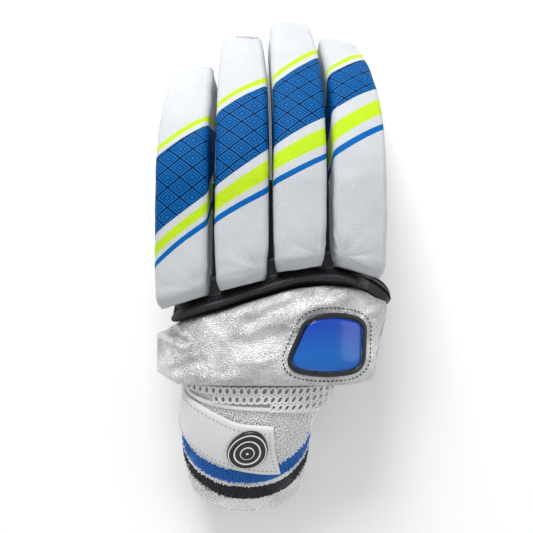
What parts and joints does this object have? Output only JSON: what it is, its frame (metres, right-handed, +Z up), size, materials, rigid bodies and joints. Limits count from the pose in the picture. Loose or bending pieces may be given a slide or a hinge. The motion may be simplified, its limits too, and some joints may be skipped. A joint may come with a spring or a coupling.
{
  "type": "cricket batting glove",
  "caption": "Left-hand batting glove: padded foam rolls on the backs of the fingers, ribbed knuckle roll, silver cuff pad with badge, open mesh, knitted wristband and closing strap.",
  "frame": {"origin": "on the surface that the glove lies on, under the middle of its bounding box", "axes": "+X towards the thumb side, +Y towards the fingertips, +Z up out of the back of the hand"},
  "size_m": [0.1398, 0.2962, 0.0777],
  "materials": {
    "roll_leather": "pale fine-grained leather over foam, printed with blue and yellow diagonal bands",
    "palm_leather": "soft white palm leather",
    "black_leather": "black leather, finely ribbed",
    "silver_leather": "silver foiled leather, crinkled",
    "badge_blue": "domed glossy blue",
    "badge_black": "moulded black",
    "spacer_mesh": "white spacer mesh with oval holes",
    "knit": "white terry knit with a blue and a black stripe",
    "strap_white": "smooth coated white strap, stitched round its edge"
  },
  "bodies": {
    "root": {"finger_roll_little": "roll_leather", "finger_roll_ring": "roll_leather", "finger_roll_middle": "roll_leather", "finger_roll_index": "roll_leather", "finger_stall_little": "palm_leather", "finger_stall_ring": "palm_leather", "finger_stall_middle": "palm_leather", "finger_stall_index": "palm_leather", "palm_shell": "palm_leather", "thumb_stall": "palm_leather", "thumb_roll": "roll_leather", "knuckle_piping": "black_leather", "cuff_pad": "silver_leather", "cuff_badge": "badge_blue", "cuff_badge_rim": "badge_black", "mesh_panel": "spacer_mesh", "wristband": "knit", "wrist_strap": "strap_white", "strap_badge": "badge_black"}
  },
  "joints": []
}
